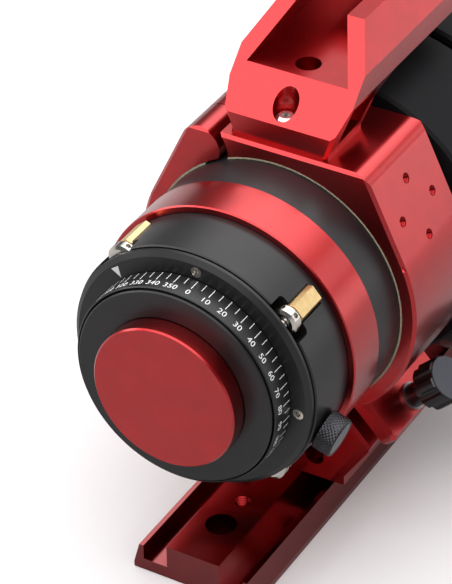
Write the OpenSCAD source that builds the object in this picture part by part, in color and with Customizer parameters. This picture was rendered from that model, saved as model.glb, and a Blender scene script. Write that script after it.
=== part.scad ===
// Rear-tilt astrograph refractor in a hinged cradle, built as separate named pieces.
// Units are millimetres. +Z is up, +Y runs along the light path towards the sky,
// +X is the side of the clamp knob. The origin is on the optical axis at the
// camera seat, which is the rear face of the adapter disc.

/* [Which piece] */

/* [Main sizes] */

// Outer radius of the main tube
tube_r = 44.9; // [40:0.1:60]
// Wall thickness of the main tube
tube_wall = 2.9; // [2:0.1:5]
// Front end of the main tube, measured from the camera seat
tube_end = 232; // [190:1:300]
// Length of the cradle ring along the tube
ring_len = 38.5; // [30:0.5:60]
// Rear face of the cradle ring, measured from the camera seat
ring_start = 63.7; // [58:0.1:90]
// Thickness of the cradle ring wall
ring_wall = 4.7; // [4:0.1:8]
// Height of the dew shield and the focuser body above the tube
shield_rise = 9.1; // [7:0.1:14]
// Length of the dew shield
shield_len = 128; // [110:1:160]

/* [Camera side] */

// Radius of the red dust cap
cap_r = 25; // [24:0.1:28]
// Depth of the red dust cap
cap_len = 6.5; // [4:0.1:12]
// Radius of the adapter disc
disc_r = 34.4; // [30:0.1:38]
// Outer radius of the angle dial
dial_r = 35.5; // [32:0.1:38]
// Front edge of the angle dial, measured from the camera seat
dial_end = 9.6; // [8:0.1:14]
// Outer radius of the rotator flange
flange_r = 42.3; // [40:0.1:46]
// Thickness of the rotator flange
flange_len = 2.35; // [2:0.05:5]
// Turn of the flange screws from the top
flange_turn = 4.5; // [0:0.5:45]
// Radius of the rotating sleeve
sleeve_r = 30; // [27:0.1:31]

/* [Tilt adjuster] */

// Outer radius of the tilt drum
drum_r = 43; // [41:0.1:46]
// Gap between the flange and the tilt drum
tilt_gap = 0.45; // [0.3:0.05:1]
// Radius of the circle the four adjusters sit on
adjust_r = 40.2; // [38:0.1:42]
// Turn of the first adjuster from the top
adjust_turn = 49.4; // [0:0.1:90]
// Radius of the round tilt nuts
nut_r = 4.8; // [3.5:0.1:6]
// Width across flats of the brass standoffs
standoff_af = 8; // [6:0.1:10]
// Turn of the rotator lock knob from the top
lock_turn = 108.6; // [95:0.1:120]
// Radius of the rotator lock knob
lock_r = 6.7; // [5:0.1:8]

/* [Red band] */

// Height of the red band above the tube
band_rise = 0.5; // [0.3:0.1:3]
// Rear edge of the red band
band_start = 32.9; // [31:0.1:40]
// Front edge of the red band
band_end = 48.6; // [44:0.1:56]

/* [Cradle] */

// Thickness of the felt strip
felt_t = 0.72; // [0.5:0.02:1.5]
// Angle of the two sloping shoulders from the top
shoulder_turn = 64.7; // [55:0.1:75]
// Radius of the hinge barrel and of the left shoulder
hinge_r = 7.3; // [6:0.1:9]
// Radius of the hinge pin
pin_r = 2; // [1.5:0.1:3]
// Turn of the clamp slot from the top
slot_turn = 136.6; // [130:0.1:145]
// Thickness of the clamp lug
lug_t = 5.2; // [3:0.1:7]
// Radius of the clamp screw
clamp_r = 2.5; // [2:0.1:3]
// Radius of the lobed clamp knob
knob_r = 8; // [6:0.1:10]
// Length of the lobed clamp knob
knob_len = 9.2; // [7:0.1:20]

/* [Handle and dovetail bar] */

// Height of the handle above the cradle ring
handle_rise = 35.6; // [30:0.1:48]
// Front end of the handle
handle_end = 160; // [140:1:190]
// Length of the dovetail bar
bar_len = 170; // [150:1:260]
// Rear end of the dovetail bar
bar_start = 8; // [-30:1:10]
// Half width of the dovetail bar at its widest
bar_half = 22.4; // [20:0.1:38]

/* [Optics and focuser] */

// Clear radius of the objective glass
glass_r = 37.8; // [30:0.1:38]
// Height of the lens cell above the tube
cell_rise = 5.1; // [3:0.1:7]
// Radius of the focuser drive shaft
shaft_r = 3; // [2:0.1:4]
// Radius of the focuser hand knobs
hand_r = 12; // [9:0.1:14]

/* [Fits] */

// Radial play of a turning or sliding fit
run_fit = 0.06; // [0.02:0.01:0.1]
// Radial play of a loose screw or stud
loose_fit = 0.25; // [0.1:0.05:0.5]
// Visible air gap between neighbouring pieces
air_gap = 0.35; // [0.3:0.05:0.6]

/* [Hidden] */

$fn = 96;
eps = 0.01;                            // cutters reach past the face they cut
cap_wall = 1.44;
stub_r = cap_r - cap_wall - run_fit;   // camera thread stub the cap slips over
stub_len = 4.5;
cap_ledge = 0.4;                       // step around the stub that the cap rim stands over
shield_r = tube_r + shield_rise;
band_r = tube_r + band_rise;
cell_r = tube_r + cell_rise;
throat_r = 21;                         // clear bore at the camera seat
throat_mid_r = 26;                     // clear bore inside the sleeve
dial_start = 0.8;
dial_lip = 1;
flange_start = dial_end + air_gap;
flange_end = flange_start + flange_len;
flange_bevel = 1.3;
screw_ring_r = 38.1;
screw_r = 1.8;
drum_start = flange_end + tilt_gap;
drum_end = 44;
drum_bore = 32.7;
bearing_r = 32;
bearing_end = 29.9;
sleeve_start = dial_end - dial_lip;
keeper_len = 2;
adjusters = [for (i = [0:3]) adjust_turn + i * 90];
stud_r = 1.5;
stud_collar_r = 1.95;
pocket_w = 2 * nut_r + 4.9;
pocket_end = 18.6;
pocket_floor = adjust_r - nut_r - 0.5;
nut_start = drum_start + 0.75;
nut_end = pocket_end - 0.5;
nut_hole_r = 0.85;
slot_w = 0.95 * standoff_af;           // the hexagon is milled down to fit the slot
slot_floor = adjust_r - standoff_af / 2 - 0.5;
standoff_end = band_start - 2.7;
lock_y = 20.2;
lock_base = drum_r + 0.4;
lock_len = 6.5;
lock_shank_r = 2.5;
lock_face_r = 5.6;
tube_bore = tube_r - tube_wall;
tube_start = 36;
seat_r = tube_r - 1.3;                 // turned-down tube end under the red band
rim_inner_r = drum_r + 0.2;
ring_bore = tube_r + 0.08 + felt_t;
ring_r = ring_bore + ring_wall;
ring_end = ring_start + ring_len;
ring_mid = ring_start + ring_len / 2;
ring_chamfer = 1;
corner_r = 7.3;
hinge_at = (ring_r - hinge_r) / cos(shoulder_turn / 2);
hinge_x = -hinge_at * sin(shoulder_turn / 2);
hinge_z = hinge_at * cos(shoulder_turn / 2);
hinge_gap_r = hinge_r + 3;
tongue_w = 6.9;                        // middle hinge knuckle
tongue_r = hinge_at - ring_bore - 0.1;
slot_top_v = -6.3;                     // upper wall of the clamp slot
slot_low_v = -12.4;                    // lower wall of the clamp slot
clamp_u = ring_r + knob_r + 1.4;
lug_u = clamp_u + 6.2;
jaw_u = clamp_u + 4.2;
lug_chamfer = 1.5;
clamp_low_v = -24;
washer_r = clamp_r + 2.3;
washer_t = 1;
stem_r = clamp_r + 1.6;
stem_len = 8.2;
foot_z = -(ring_r + 23.6);             // underside of the foot, on the bar web
foot_half = 25.5;
tap_r = 1.75;
tap_depth = 4;
tap_reach = 10.1;
tap_centre = -11.1;
handle_start = 66.05;
handle_base_half = 17.2;
handle_half = 21.9;
handle_top = ring_r + handle_rise;
handle_cut_z = ring_r + 7.65;
handle_wide_z = ring_r + 15.6;
handle_taper_z = ring_r + 23.4;
handle_lean = 0.555;                   // inward lean of the upper sides
handle_wall = 3.9;
trough_z = ring_r + 19.7;
grip_under_z = handle_top - 6;
grip_start = 118;                      // the channel is open at the top behind this
side_pocket_x = 11;
bolt_r = 1.95;
bolt_seat_z = ring_r + 6.6;
bolt_bore_r = 4.2;
handle_bolts = [71.15, 85.7];
web_half = 9.8;
rail_z = foot_z - 3;
bar_foot_z = foot_z - 13;
bar_groove_z = foot_z - 8.5;
body_start = ring_end + 4.3;
body_end = body_start + 39.5;
shaft_y = body_start + 20;
shaft_z = -(tube_r + 7.1);
shaft_half = shield_r + 6;
rail_bottom = shaft_z + shaft_r + 0.05;
body_screw_turns = [-60, 60, 180];
body_screw_len = 2.5;
cell_start = tube_end;
cell_end = cell_start + 30;
shield_start = body_end + 4;
shield_end = shield_start + shield_len;
shield_wall = 3;
front_seat = 3;

// ---------- helpers ----------

// Solid of revolution about the optical axis; points are [radius, y].
module turned(points) {
  rotate([-90, 0, 0]) rotate_extrude() polygon(points);
}

// Tube or disc about the optical axis.
module ring_y(r_out, r_in, y0, y1) {
  translate([0, y0, 0]) rotate([-90, 0, 0]) difference() {
    cylinder(h = y1 - y0, r = r_out);
    if (r_in > 0) translate([0, 0, -eps]) cylinder(h = y1 - y0 + 2 * eps, r = r_in);
  }
}

// Plain cylinder along the tube at any place.
module rod_y(r, y0, y1, x, z) {
  translate([x, y0, z]) rotate([-90, 0, 0]) cylinder(h = y1 - y0, r = r);
}

// Drawing in X and Z, pulled from y0 to y1.
module prism_y(y0, y1) {
  translate([0, y1, 0]) rotate([90, 0, 0]) linear_extrude(y1 - y0) children();
}

// Drawing in Y and Z, pulled from x0 to x1.
module prism_x(x0, x1) {
  translate([x0, 0, 0]) rotate([90, 0, 90]) linear_extrude(x1 - x0) children();
}

// Places children at a turn from the top; local +Z is outwards.
module at_turn(turn) {
  rotate([0, turn, 0]) children();
}

// Clamp frame: local X runs out along the slot, local Z is the clamp axis.
module at_clamp() {
  rotate([0, slot_turn - 90, 0]) children();
}

function clamp_point(u, v) = [
  u * sin(slot_turn) - v * cos(slot_turn),
  u * cos(slot_turn) + v * sin(slot_turn)
];

// ---------- camera side ----------

module rear_cap() {
  bevel = 0.5;
  color("firebrick") turned([
    [0, -cap_len], [cap_r - bevel, -cap_len], [cap_r, bevel - cap_len],
    [cap_r, 0], [stub_r + run_fit, 0], [stub_r + run_fit, -stub_len - 0.3],
    [0, -stub_len - 0.3]
  ]);
}

module adapter_disc() {
  bevel = 0.4;
  color("dimgray") turned([
    [throat_r, -stub_len], [stub_r, -stub_len], [stub_r, cap_ledge],
    [cap_r + air_gap, cap_ledge], [cap_r + air_gap, 0], [disc_r - bevel, 0],
    [disc_r, bevel], [disc_r, sleeve_start], [throat_r, sleeve_start]
  ]);
}

module dial_ring() {
  bevel = 0.3;
  inner = disc_r + air_gap;
  color("dimgray") turned([
    [inner, dial_start + bevel], [inner + bevel, dial_start], [dial_r - bevel, dial_start],
    [dial_r, dial_start + bevel], [dial_r, dial_end], [sleeve_r + run_fit, dial_end],
    [sleeve_r + run_fit, dial_end - dial_lip], [inner, dial_end - dial_lip]
  ]);
}

module rotator_sleeve() {
  groove = 1;
  color("gray") turned([
    [throat_r, sleeve_start], [sleeve_r, sleeve_start],
    [sleeve_r, lock_y - 2.6], [sleeve_r - groove, lock_y - 1.6],
    [sleeve_r - groove, lock_y + 1.6], [sleeve_r, lock_y + 2.6],
    [sleeve_r, bearing_end + 0.1], [throat_mid_r, bearing_end + 0.1],
    [throat_mid_r, sleeve_start + 3], [throat_r, sleeve_start + 3]
  ]);
}

module sleeve_keeper() {
  color("gray") ring_y(sleeve_r + 1.4, throat_mid_r, bearing_end + 0.1,
                       bearing_end + 0.1 + keeper_len);
}

// ---------- tilt plate ----------

module rotator_flange() {
  color("dimgray") difference() {
    turned([
      [sleeve_r + run_fit, flange_start], [flange_r - flange_bevel - 0.35, flange_start],
      [flange_r, flange_start + flange_bevel], [flange_r, flange_end],
      [sleeve_r + run_fit, flange_end]
    ]);
    for (i = [0:3]) at_turn(flange_turn + i * 90)
      rod_y(screw_r + 0.1, flange_start - 1, flange_end - 0.5, 0, screw_ring_r);
  }
}

module flange_screws() {
  socket_af = 1.6;
  color("silver") for (i = [0:3]) at_turn(flange_turn + i * 90) difference() {
    rod_y(screw_r, flange_start + 0.1, flange_end - 0.5, 0, screw_ring_r);
    translate([0, flange_start, screw_ring_r]) rotate([-90, 0, 0])
      cylinder(h = 1.2, r = socket_af / sqrt(3), $fn = 6);
  }
}

module tilt_bearing() {
  window_r = lock_shank_r + 0.8;
  color("gray") difference() {
    ring_y(bearing_r, sleeve_r + run_fit, flange_end, bearing_end);
    at_turn(lock_turn) translate([0, lock_y, sleeve_r - 1])
      cylinder(h = 4, r = window_r);
  }
}

module tilt_studs() {
  color("silver") for (a = adjusters) at_turn(a) {
    rod_y(stud_collar_r, flange_end, flange_end + 0.8, 0, adjust_r);
    rod_y(stud_r, flange_end + 0.4, standoff_end - 2, 0, adjust_r);
  }
}

// ---------- tilt drum ----------

module drum_cuts() {
  edge = 1.5;
  for (a = adjusters) at_turn(a) {
    // round-cornered pocket at the rear rim
    translate([-pocket_w / 2, drum_start - 1, pocket_floor])
      cube([pocket_w, pocket_end - edge - drum_start + 1, 20]);
    translate([edge - pocket_w / 2, drum_start - 1, pocket_floor])
      cube([pocket_w - 2 * edge, pocket_end - drum_start + 1, 20]);
    for (s = [-1, 1]) translate([s * (pocket_w / 2 - edge), pocket_end - edge, pocket_floor])
      cylinder(h = 20, r = edge);
    // lengthwise slot for the standoff
    translate([-slot_w / 2, pocket_end - 1, slot_floor])
      cube([slot_w, standoff_end - pocket_end + 1, 20]);
  }
}

module tilt_drum() {
  bevel = 0.4;
  color("dimgray") difference() {
    turned([
      [drum_bore, drum_start], [drum_r - bevel, drum_start],
      [drum_r, drum_start + bevel], [drum_r, tube_start],
      [tube_bore, tube_start], [tube_bore, drum_end], [drum_bore, drum_end]
    ]);
    drum_cuts();
    at_turn(lock_turn) translate([0, lock_y, 30])
      cylinder(h = 20, r = lock_shank_r + run_fit);
  }
}

module tilt_standoffs() {
  bore_r = stud_r + 0.5;
  color("goldenrod") for (a = adjusters) at_turn(a)
    translate([0, pocket_end - 0.25, adjust_r]) rotate([-90, 0, 0]) difference() {
      intersection() {
        cylinder(h = standoff_end - pocket_end + 0.25, r = standoff_af / sqrt(3), $fn = 6);
        translate([air_gap - slot_w / 2, -standoff_af, -1])
          cube([slot_w - 2 * air_gap, 2 * standoff_af, standoff_end]);
      }
      translate([0, 0, -eps]) cylinder(h = standoff_end - pocket_end, r = bore_r);
    }
}

module tilt_nut(turn) {
  dome = 1.1;
  len = nut_end - nut_start;
  holes = 6;
  color("silver") at_turn(turn) translate([0, nut_start, adjust_r]) rotate([-90, 0, 0])
    difference() {
      rotate_extrude() polygon([
        [stud_r + loose_fit, 0], [nut_r - dome, 0], [nut_r, dome * 0.6],
        [nut_r, len - dome], [nut_r - dome, len], [stud_r + loose_fit, len]
      ]);
      for (i = [0:holes - 1]) rotate([0, 0, i * 360 / holes + 30])
        translate([nut_r - 1.8, 0, len / 2]) rotate([0, 90, 0])
          cylinder(h = 3, r = nut_hole_r);
    }
}

module tilt_nut_a() { tilt_nut(adjusters[0]); }
module tilt_nut_b() { tilt_nut(adjusters[1]); }
module tilt_nut_c() { tilt_nut(adjusters[2]); }
module tilt_nut_d() { tilt_nut(adjusters[3]); }

module lock_knob() {
  bevel = 0.5;
  top = lock_base + lock_len;
  color("dimgray") at_turn(lock_turn) translate([0, lock_y, 0]) difference() {
    rotate_extrude() polygon([
      [0, sleeve_r + 0.3], [lock_shank_r - 1, sleeve_r + 0.3],
      [lock_shank_r, sleeve_r + 1.5], [lock_shank_r, lock_base],
      [lock_r - bevel, lock_base], [lock_r, lock_base + bevel],
      [lock_r, top - bevel], [lock_r - bevel, top], [0, top]
    ]);
    translate([0, 0, top - 0.8]) cylinder(h = 2, r = lock_face_r + 0.05);
  }
}

module lock_knob_face() {
  color("gray") at_turn(lock_turn) translate([0, lock_y, lock_base + lock_len - 0.8])
    cylinder(h = 0.7, r = lock_face_r);
}

// ---------- tube ----------

module rear_band() {
  bevel = 0.4;
  step = tube_start - air_gap;
  color("red") turned([
    [rim_inner_r, band_start], [band_r - bevel, band_start],
    [band_r, band_start + bevel], [band_r, band_end], [seat_r + 0.05, band_end],
    [seat_r + 0.05, step], [rim_inner_r, step]
  ]);
}

module main_tube() {
  slot_half = 6;
  color("black") difference() {
    turned([
      [tube_bore, tube_start], [seat_r, tube_start], [seat_r, band_end],
      [tube_r, band_end], [tube_r, tube_end], [tube_bore, tube_end]
    ]);
    // opening for the focuser drive rail
    translate([-slot_half, body_start + 2, -tube_r - 5])
      cube([2 * slot_half, body_end - body_start - 4, 10]);
  }
}

module tube_baffle() {
  y0 = tube_end - 36;
  edge_r = tube_bore - 6;
  color("black") turned([
    [edge_r, y0], [tube_bore, y0], [tube_bore, y0 + 3], [edge_r + 1.5, y0 + 3],
    [edge_r, y0 + 1]
  ]);
}

// ---------- cradle ----------

// Outside of the ring: a circle with two shoulders.
module ring_outline() {
  half = shoulder_turn / 2;
  at_r = (ring_r - corner_r) / cos(half);
  circle(r = ring_r);
  for (s = [-1, 1]) {
    fr = s < 0 ? hinge_r : corner_r;
    fa = (ring_r - fr) / cos(half);
    c = [s * fa * sin(half), fa * cos(half)];
    polygon([
      [0, 0], [0, ring_r], [c[0], ring_r], c,
      [c[0] + s * fr * sin(shoulder_turn), c[1] + fr * cos(shoulder_turn)],
      [s * ring_r * sin(shoulder_turn), ring_r * cos(shoulder_turn)]
    ]);
    translate(c) circle(r = fr);
  }
}

// Two flat chamfers and one round one, on one end face.
module ring_chamfers(y) {
  c = ring_chamfer;
  side = c * sqrt(2);
  flat = ring_r * tan(shoulder_turn / 2);
  at_turn(0) translate([0, y, ring_r]) rotate([45, 0, 0])
    cube([2 * flat + 2, side, side], center = true);
  for (s = [-1, 1]) at_turn(s * shoulder_turn)
    translate([-s * flat / 2, y, ring_r]) rotate([45, 0, 0])
      cube([flat + 1, side, side], center = true);
  translate([0, y, 0]) rotate([-90, 0, 0])
    rotate_extrude(start = shoulder_turn - 90, angle = 360 - 2 * shoulder_turn)
      polygon([[ring_r - c, 0], [ring_r, -c], [ring_r + c, 0], [ring_r, c]]);
}

// Everything on the lower-left side of the split.
module lower_side() {
  polygon([
    [hinge_x + 1.8, hinge_z], [hinge_x + 1.8, 30], clamp_point(20, slot_low_v),
    clamp_point(120, slot_low_v), [60, -120], [-120, -120], [-120, 80],
    [hinge_x, 80], [hinge_x, hinge_z]
  ]);
}

// Everything on the upper-right side of the split.
module upper_side() {
  polygon([
    [hinge_x, hinge_z + hinge_r + 5], [hinge_x + 7, 20], clamp_point(20, slot_top_v),
    clamp_point(120, slot_top_v), [120, -20], [120, 80], [hinge_x, 80]
  ]);
}

module foot_outline() {
  polygon([
    clamp_point(40, slot_low_v), clamp_point(jaw_u, slot_low_v),
    clamp_point(jaw_u + 0.8, slot_low_v - 1.5),
    [foot_half, foot_z + 3.6], [foot_half, foot_z], [-foot_half, foot_z],
    [-foot_half, foot_z + 3.6], [-ring_r * 0.8, -ring_r * 0.6], [-20, -20], [20, -30]
  ]);
}

module bore_cut() {
  ring_y(ring_bore, 0, ring_start - 1, ring_end + 1);
}

module cradle_lower() {
  notch_x = 14.3;
  notch_r = 3.5;
  notch_deep = 12;
  jaw_edge = 1.3;
  clear = 0.3;
  color("crimson") difference() {
    union() {
      prism_y(ring_start, ring_end) intersection() {
        ring_outline();
        lower_side();
      }
      prism_y(ring_start, ring_end) foot_outline();
      rod_y(hinge_r, ring_start, ring_end, hinge_x, hinge_z);
    }
    bore_cut();
    ring_chamfers(ring_start);
    ring_chamfers(ring_end);
    // room for the middle knuckle
    rod_y(hinge_r + clear, ring_mid - tongue_w / 2 - clear,
          ring_mid + tongue_w / 2 + clear, hinge_x, hinge_z);
    rod_y(pin_r, ring_start + 3.3, ring_end + 1, hinge_x, hinge_z);
    // open-ended slot that lets the clamp screw swing clear
    at_clamp() translate([clamp_u, ring_mid, clamp_low_v - 4]) {
      cylinder(h = 40, r = clamp_r + 0.4);
      translate([0, -clamp_r - 0.4, 0]) cube([40, 2 * clamp_r + 0.8, 40]);
    }
    at_clamp() for (y = [ring_start, ring_end]) translate([jaw_u, y, slot_low_v])
      rotate([45, 0, 0]) cube([2 * (jaw_u - ring_r), jaw_edge, jaw_edge], center = true);
    for (s = [-1, 1]) prism_y(ring_start - 1, ring_start + notch_deep)
      translate([s * notch_x, foot_z + 8.4]) {
        circle(r = notch_r);
        translate([-notch_r, 0]) square([2 * notch_r, 6]);
      }
    for (dy = [-12, 12]) translate([0, ring_mid + dy, foot_z - 1])
      cylinder(h = 12, r = bolt_r + 0.05);
  }
}

// Clamp lug with two rounded corners and a chamfer along its upper edges.
module clamp_lug() {
  rr = 3;
  root = ring_bore + ring_wall / 2;
  flat = lug_t - lug_chamfer;
  side = [[0, flat], [ring_len, flat], [ring_len - lug_chamfer, lug_t], [lug_chamfer, lug_t]];
  linear_extrude(flat) union() {
    translate([root, ring_start]) square([lug_u - rr - root, ring_len]);
    translate([root, ring_start + rr]) square([lug_u - root, ring_len - 2 * rr]);
    for (y = [ring_start + rr, ring_end - rr]) translate([lug_u - rr, y]) circle(r = rr);
  }
  translate([root, ring_start, 0]) rotate([90, 0, 90])
    linear_extrude(lug_u - rr - root) polygon(side);
  translate([0, ring_end - rr, 0]) rotate([90, 0, 0]) linear_extrude(ring_len - 2 * rr)
    polygon([[root, flat], [lug_u, flat], [lug_u - lug_chamfer, lug_t], [root, lug_t]]);
  for (y = [ring_start + rr, ring_end - rr]) translate([lug_u - rr, y, flat])
    cylinder(h = lug_chamfer, r1 = rr, r2 = rr - lug_chamfer);
}

module cradle_upper() {
  color("crimson") difference() {
    union() {
      difference() {
        prism_y(ring_start, ring_end) intersection() {
          ring_outline();
          upper_side();
        }
        rod_y(hinge_gap_r, ring_start - 1, ring_end + 1, hinge_x, hinge_z);
        ring_chamfers(ring_start);
        ring_chamfers(ring_end);
      }
      // clamp lug
      at_clamp() translate([0, 0, slot_top_v]) clamp_lug();
      // middle knuckle and its bridge
      prism_y(ring_mid - tongue_w / 2, ring_mid + tongue_w / 2) {
        // full size where it shows, smaller where it would swing into the tube
        translate([hinge_x, hinge_z]) circle(r = tongue_r);
        translate([hinge_x, hinge_z]) intersection() {
          circle(r = hinge_r);
          polygon([[0, 0], [20, 0], [20, 20], [-20, 20], [-20, 10]]);
        }
        polygon([
          [hinge_x, hinge_z + hinge_r], [hinge_x + 13, ring_r],
          [hinge_x + 13, hinge_z + 1.5], [hinge_x + 5, hinge_z - 2]
        ]);
      }
    }
    bore_cut();
    rod_y(pin_r + run_fit, ring_start, ring_end, hinge_x, hinge_z);
    at_clamp() translate([clamp_u, ring_mid, slot_top_v - 1])
      cylinder(h = 10, r = clamp_r + loose_fit);
    for (y = handle_bolts) translate([0, y, ring_bore - 1])
      cylinder(h = 10, r = bolt_r + 0.05);
    // four tapped holes in a diamond on the right shoulder
    at_turn(shoulder_turn) for (p = [[-1, 0], [1, 0], [0, -1], [0, 1]])
      translate([tap_centre + p[0] * tap_reach, ring_mid - 0.45 + p[1] * tap_reach,
                 ring_r - tap_depth]) cylinder(h = tap_depth + 1, r = tap_r);
  }
}

module felt_band() {
  circle(r = ring_bore - 0.02);
}

module felt_lower() {
  inset = 0.15;
  color("tan") difference() {
    prism_y(ring_start + inset, ring_end - inset) intersection() {
      felt_band();
      lower_side();
    }
    ring_y(ring_bore - felt_t, 0, ring_start, ring_end);
  }
}

module felt_upper() {
  inset = 0.15;
  color("tan") difference() {
    prism_y(ring_start + inset, ring_end - inset) intersection() {
      felt_band();
      upper_side();
    }
    rod_y(hinge_gap_r, ring_start, ring_end, hinge_x, hinge_z);
    ring_y(ring_bore - felt_t, 0, ring_start, ring_end);
  }
}

module hinge_pin() {
  color("silver") rod_y(pin_r, ring_start + 3.3, ring_end - 1, hinge_x, hinge_z);
}

// ---------- clamp ----------

module clamp_screw() {
  color("gray") at_clamp() translate([clamp_u, ring_mid, clamp_low_v])
    cylinder(h = stem_len + slot_top_v + lug_t + 1 - clamp_low_v, r = clamp_r);
}

module clamp_washer() {
  color("lightgray") at_clamp() translate([clamp_u, ring_mid, slot_top_v + lug_t + 0.05])
    difference() {
      cylinder(h = washer_t, r = washer_r);
      translate([0, 0, -1]) cylinder(h = washer_t + 2, r = clamp_r);
    }
}

module clamp_knob() {
  flutes = 8;
  flute_r = 2;
  base = slot_top_v + lug_t + 0.05 + washer_t;
  color("black") at_clamp() translate([clamp_u, ring_mid, base]) difference() {
    union() {
      cylinder(h = stem_len, r = stem_r);
      translate([0, 0, stem_len - 0.5]) rotate_extrude() polygon([
        [0, 0], [knob_r - 0.6, 0], [knob_r, 0.6], [knob_r, knob_len - 0.4],
        [knob_r - 0.5, knob_len], [0, knob_len]
      ]);
    }
    for (i = [0:flutes - 1]) rotate([0, 0, i * 360 / flutes])
      translate([knob_r + 0.9, 0, stem_len - 1]) cylinder(h = knob_len + 2, r = flute_r);
    translate([0, 0, -1]) cylinder(h = stem_len + 1, r = clamp_r);
  }
}

module clamp_knob_face() {
  base = slot_top_v + lug_t + 0.05 + washer_t + stem_len - 0.5 + knob_len;
  color("dimgray") at_clamp() translate([clamp_u, ring_mid, base])
    cylinder(h = 0.5, r = knob_r - 0.6);
}

// ---------- handle ----------

// Outside of the handle, seen from behind.
module handle_section() {
  h = handle_half;
  lean = (handle_top - handle_taper_z) * handle_lean;
  polygon([
    [-handle_base_half, ring_r], [handle_base_half, ring_r],
    [handle_base_half, ring_r + 1.2], [h, handle_wide_z], [h, handle_taper_z],
    [h - lean, handle_top], [lean - h, handle_top], [-h, handle_taper_z],
    [-h, handle_wide_z], [-handle_base_half, ring_r + 1.2]
  ]);
}

// Channel along the handle, up to a height above the ring.
module trough_section(top) {
  h = handle_half - handle_wall;
  lean = (top - trough_z) * handle_lean;
  polygon([[-h, trough_z], [h, trough_z], [h - lean, top], [lean - h, top]]);
}

module handle_side() {
  rise = handle_top - handle_cut_z;
  polygon([
    [handle_start, ring_r], [handle_start, handle_cut_z],
    [handle_start + rise, handle_top], [handle_end - 12, handle_top],
    [handle_end, handle_top - 12], [handle_end, handle_wide_z + 4],
    [handle_end - 4, handle_wide_z], [ring_end + 1, handle_wide_z],
    [ring_end - 10.4, handle_wide_z - 4.5], [ring_end - 13.8, ring_r]
  ]);
}

// Recess in the sloping lower side, inside an even border.
module side_pocket() {
  polygon([
    [handle_start + 6.4, ring_r + 2.4], [ring_end - 16, ring_r + 3.6],
    [ring_end - 10.6, handle_wide_z - 1.6], [handle_start + 9.3, handle_wide_z - 1]
  ]);
}

module handle_bar() {
  edge = 1.5;
  slope = atan((handle_half - handle_base_half) / (handle_wide_z - ring_r - 1.2));
  color("crimson") difference() {
    intersection() {
      prism_y(handle_start, handle_end) handle_section();
      prism_x(-handle_half, handle_half) handle_side();
    }
    prism_y(handle_start - 1, handle_end + 1) trough_section(grip_under_z);
    prism_y(handle_start - 1, grip_start) trough_section(handle_top + 1);
    for (s = [-1, 1]) {
      prism_x(s > 0 ? side_pocket_x : -handle_half - 1, s > 0 ? handle_half + 1 : -side_pocket_x)
        side_pocket();
      // chamfer down the rear corner
      translate([s * handle_base_half, handle_start, ring_r + 1.2])
        rotate([0, s * slope, 0]) rotate([0, 0, 45])
          cube([edge, edge, 40], center = true);
    }
    for (y = handle_bolts) translate([0, y, 0]) {
      translate([0, 0, bolt_seat_z]) cylinder(h = 40, r = bolt_bore_r);
      translate([0, 0, ring_r - 1]) cylinder(h = 20, r = bolt_r + loose_fit);
    }
  }
}

module handle_screws() {
  head_r = 3.7;
  head_h = 2.3;
  color("silver") for (y = handle_bolts) translate([0, y, 0]) difference() {
    union() {
      translate([0, 0, ring_bore + 0.5]) cylinder(h = bolt_seat_z - ring_bore, r = bolt_r);
      translate([0, 0, bolt_seat_z]) rotate_extrude() polygon([
        [0, 0], [head_r, 0], [head_r, 0.6], [head_r - 0.5, 1.5],
        [head_r - 1.4, head_h], [0, head_h]
      ]);
    }
    translate([0, 0, bolt_seat_z + 0.9]) cylinder(h = 3, r = 1.45, $fn = 6);
  }
}

// ---------- dovetail bar ----------

module dovetail_bar() {
  lip = 2;
  flare = (foot_z - 3 - bar_foot_z - lip) * tan(15);
  top_half = bar_half - flare;
  rail = 1.6;
  thread_r = 2.9;
  big_r = 5.3;
  color("crimson") difference() {
    prism_y(bar_start, bar_start + bar_len) polygon([
      [-bar_half, bar_foot_z], [bar_half, bar_foot_z], [bar_half, bar_foot_z + lip],
      [top_half, rail_z], [top_half - rail, rail_z], [top_half - rail, bar_groove_z],
      [web_half, bar_groove_z], [web_half, foot_z], [-web_half, foot_z],
      [-web_half, bar_groove_z], [rail - top_half, bar_groove_z],
      [rail - top_half, rail_z], [-top_half, rail_z], [-bar_half, bar_foot_z + lip]
    ]);
    for (y = [40.2, 2 * ring_mid - 40.2, 2 * ring_mid - 12]) translate([0, y, bar_foot_z - 1])
      cylinder(h = 20, r = thread_r);
    for (y = [26.5, 2 * ring_mid - 26.5]) translate([0, y, bar_foot_z - 1])
      cylinder(h = 20, r = big_r);
    for (dy = [-12, 12]) translate([0, ring_mid + dy, bar_foot_z - 1]) {
      cylinder(h = 20, r = bolt_r + loose_fit);
      cylinder(h = 6, r = bolt_bore_r);
    }
  }
}

module dovetail_screws() {
  head_r = 3.7;
  seat = bar_foot_z + 5;
  color("silver") for (dy = [-12, 12]) translate([0, ring_mid + dy, 0]) difference() {
    union() {
      translate([0, 0, seat - 3.9]) cylinder(h = 3.9, r = head_r);
      translate([0, 0, seat - 1]) cylinder(h = foot_z + 9 - seat, r = bolt_r);
    }
    translate([0, 0, seat - 5]) cylinder(h = 3, r = 1.75, $fn = 6);
  }
}

// ---------- focuser ----------

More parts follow.
